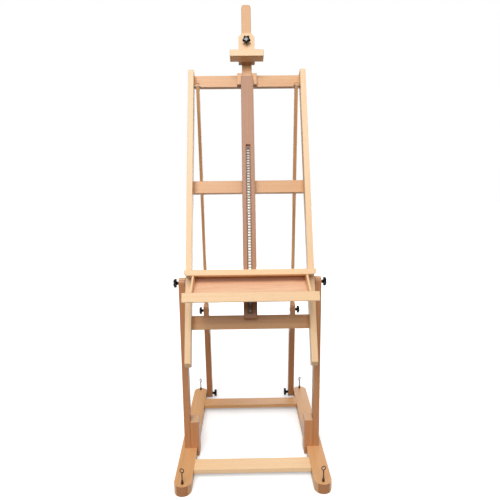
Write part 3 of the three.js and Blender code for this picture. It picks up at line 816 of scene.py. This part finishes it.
def at_corners(node, from_end, from_edge):
    """Places on a leaning board's back face, one by each corner."""
    (x0, x1), (_, back), (z0, z1) = frame_span(node)
    across = (x0 + from_end, x1 - from_end)
    return [(in_frame(x, back, z), BACK) for x in across for z in (z0 + from_edge, z1 - from_edge)]


spots = []
for node in ("lower_crossboard", "middle_crossboard", "top_crossboard"):
    spots += at_corners(node, 0.0125, INSET)
_, (_, back), (z0, z1) = frame_span("lower_crossboard")
for x in (-INSET, INSET):
    for z in (z0 + 0.016, z1 - 0.016):
        spots.append((in_frame(x, back, z), BACK))
(x0, x1), _, (z0, _) = frame_span("mast_guide_right")
back = frame_span("top_crossboard")[1][1]
for x in (x0 + 0.011, x1 - 0.009, -x0 - 0.011, -x1 + 0.009):
    spots.append((in_frame(x, back, z0 + 0.029), BACK))
screws("screws.frame", "frame", spots)

screws("screws.clamp", "clamp", at_corners("clamp_back_plate", 0.007, INSET))

spots = []
(_, guide_x), (y0, y1), (z0, z1) = frame_span("carriage_guide_right")
(_, tray_x), (front, back), (low, high) = frame_span("tray_side_right")
on_tray = (
    (back - 0.009, low + 0.02),
    (back - 0.009, high - INSET),
    (front + 0.010, (low + high) / 2 - 0.022),
)
for side, _ in SIDES:
    for z in (z0 + INSET, (z0 + z1) / 2, z1 - INSET):
        spots.append((in_frame(side * guide_x, (y0 + y1) / 2 - 0.011, z), X * side))
    for y, z in on_tray:
        spots.append((in_frame(side * tray_x, y, z), X * side))
screws("screws.tray", "tray", spots)

spots = []
low, high = (Vector(c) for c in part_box("post_block_right"))
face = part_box("runner_right")[1][0]
for side, _ in SIDES:
    for z in (low.z + 0.07, high.z - 0.03):
        for y in (low.y + 0.016, high.y - 0.022):
            spots.append((Vector((side * low.x, y, z)), -X * side))
    for node in ("front_crossbar", "rear_crossbar"):
        near, far = (Vector(c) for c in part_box(node))
        for y in (near.y + 0.017, far.y - 0.017):
            spots.append((Vector((side * face, y, (near.z + far.z) / 2)), X * side))
screws("screws.base", "base", spots)

# ------------------------------------------------------------------ floor, light and camera

bm = bmesh.new()
bmesh.ops.create_grid(bm, x_segments=4, y_segments=4, size=14.0)
mesh = finish_mesh(bm, "floor")
floor = in_scene("floor", mesh)
pale = Tree("pale_floor")
where = pale.add("ShaderNodeTexCoord").outputs["Object"]
pale.to("Base Color", pale.mix(pale.noise(where, 3.0, 3.0), (0.95, 0.95, 0.95), (0.97, 0.97, 0.97)))
pale.to("Roughness", 0.9)
pale.to("Specular IOR Level", 0.1)
pale.to("Emission Color", (1.0, 1.0, 1.0, 1.0))
pale.to("Emission Strength", 0.26)
mesh.materials.append(pale.mat)
# The floor throws no light up at the easel, so undersides stay dark.
floor.visible_diffuse = False

world = bpy.data.worlds.new("studio")
bpy.context.scene.world = world
world.use_nodes = True
sky = world.node_tree
backdrop = sky.nodes["Background"]
backdrop.inputs["Color"].default_value = (1.0, 1.0, 1.0, 1.0)
backdrop.inputs["Strength"].default_value = 1.0
# The room that lights the easel is brighter overhead than at its walls. The camera itself
# sees a plain white wall.
room = sky.nodes.new("ShaderNodeBackground")
heading = sky.nodes.new("ShaderNodeTexCoord")
parts = sky.nodes.new("ShaderNodeSeparateXYZ")
height = sky.nodes.new("ShaderNodeMapRange")
height.inputs["From Min"].default_value = -0.5
height.inputs["From Max"].default_value = 1.0
height.inputs["To Min"].default_value = 0.10
height.inputs["To Max"].default_value = 0.74
sky.links.new(heading.outputs["Generated"], parts.inputs[0])
sky.links.new(parts.outputs["Z"], height.inputs["Value"])
sky.links.new(height.outputs[0], room.inputs["Strength"])
seen = sky.nodes.new("ShaderNodeLightPath")
either = sky.nodes.new("ShaderNodeMixShader")
sky.links.new(seen.outputs["Is Camera Ray"], either.inputs[0])
sky.links.new(room.outputs[0], either.inputs[1])
sky.links.new(backdrop.outputs[0], either.inputs[2])
sky.links.new(either.outputs[0], sky.nodes["World Output"].inputs["Surface"])


def area_light(name, spot, target, size, power):
    data = bpy.data.lights.new(name, "AREA")
    data.shape = "RECTANGLE"
    data.size, data.size_y = size
    data.energy = power
    obj = in_scene(name, data)
    spot = Vector(spot)
    obj.matrix_world = Matrix.Translation(spot) @ frame_of(spot - Vector(target)).to_4x4()


MIDDLE = (0, 0, 0.9)
area_light("key", (-1.0, -2.6, 4.2), MIDDLE, (2.2, 1.6), 33)
area_light("side", (2.6, -2.0, 2.4), MIDDLE, (1.4, 2.2), 8)
area_light("back", (0.8, 3.6, 1.1), MIDDLE, (2.6, 2.0), 30)
area_light("left", (-3.2, 0.8, 2.0), MIDDLE, (1.6, 2.0), 9)
SUN_FROM = Vector((-0.12, -0.95, 1.0))
data = bpy.data.lights.new("ceiling", "SUN")
data.energy = 1.88
data.angle = math.radians(42)
ceiling = in_scene("ceiling", data)
ceiling.matrix_world = Matrix.Translation((0, 0, 5)) @ frame_of(SUN_FROM).to_4x4()

SENSOR_MM = 36.0
PIXELS = 500.0
FOCAL_PX = 438.0
CAMERA_AT = Vector((-0.0200, -1.9179, 1.2403))
YAW, PITCH, ROLL = (math.radians(a) for a in (0.68, 9.96, -0.63))
ahead = Vector((math.sin(YAW) * math.cos(PITCH), math.cos(YAW) * math.cos(PITCH), -math.sin(PITCH)))
level = Vector((math.cos(YAW), -math.sin(YAW), 0))
over = level.cross(ahead)
right = level * math.cos(ROLL) + over * math.sin(ROLL)
upward = over * math.cos(ROLL) - level * math.sin(ROLL)
data = bpy.data.cameras.new("camera")
data.sensor_width = SENSOR_MM
data.lens = SENSOR_MM * FOCAL_PX / PIXELS
data.clip_start = 0.05
data.clip_end = 60.0
camera = in_scene("camera", data)
turned = Matrix((right, upward, -ahead)).transposed().to_4x4()
camera.matrix_world = Matrix.Translation(CAMERA_AT) @ turned
bpy.context.scene.camera = camera

bpy.context.scene.view_settings.view_transform = "Standard"
bpy.context.scene.view_settings.look = "None"
